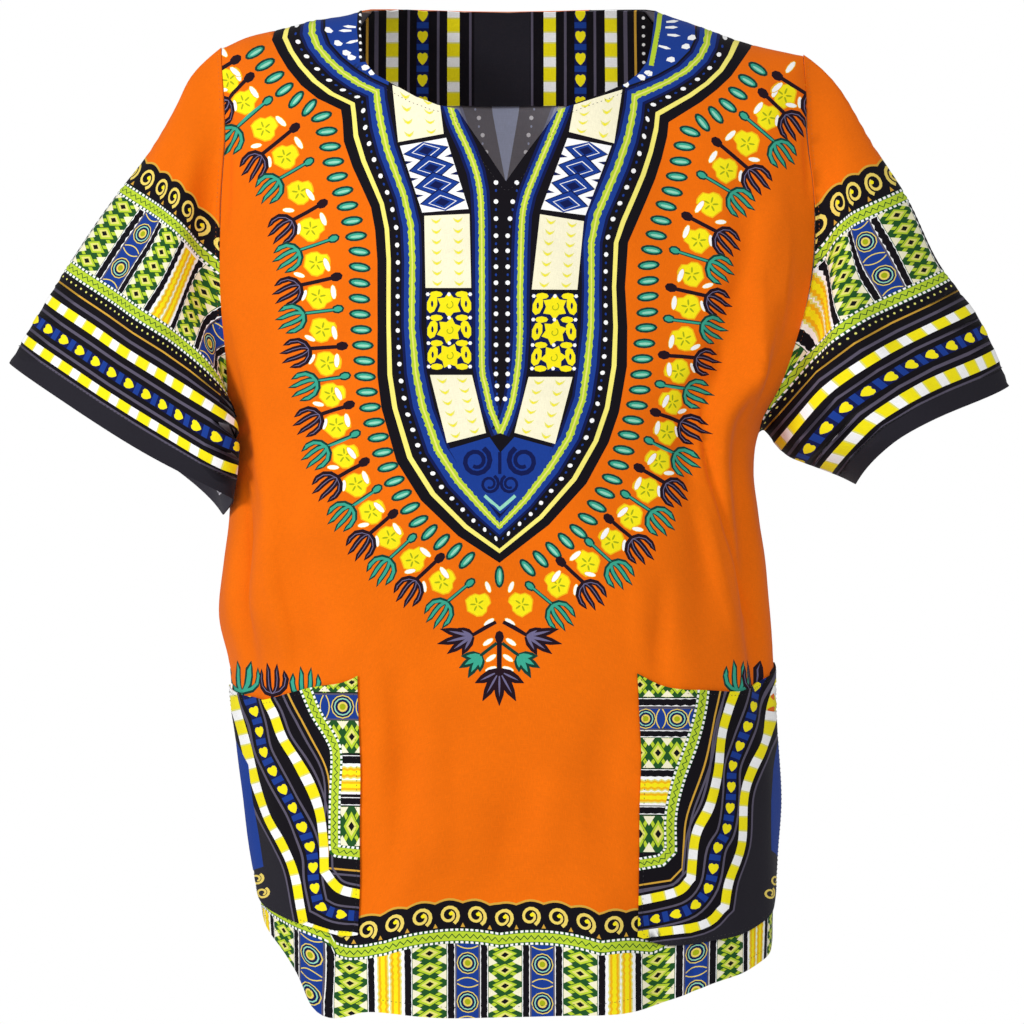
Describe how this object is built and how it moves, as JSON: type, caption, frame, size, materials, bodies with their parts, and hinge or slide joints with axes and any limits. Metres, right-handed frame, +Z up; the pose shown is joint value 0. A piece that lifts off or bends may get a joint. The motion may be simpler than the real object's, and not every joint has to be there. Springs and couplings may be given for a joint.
{
  "type": "dashiki shirt",
  "caption": "Pullover dashiki shirt with a scooped and slit neck, short wide sleeves and patch pockets, filled out as if worn.",
  "frame": {"origin": "middle of the neck opening, on the line of the shoulder seams", "axes": "+Z up, the front faces -Y, the wearer's left is at +X"},
  "size_m": [0.7794, 0.2332, 0.7785],
  "materials": {
    "orange_print_cotton": "plain weave cotton print, slight sheen",
    "border_print_cotton": "plain weave cotton print, slight sheen",
    "facing_print_cotton": "plain weave cotton print, slight sheen"
  },
  "bodies": {
    "root": {"front": "orange_print_cotton", "back": "orange_print_cotton", "sleeve_left": "orange_print_cotton", "sleeve_right": "orange_print_cotton", "pocket_left": "border_print_cotton", "pocket_right": "border_print_cotton", "back_neck_facing": "facing_print_cotton"}
  },
  "joints": []
}
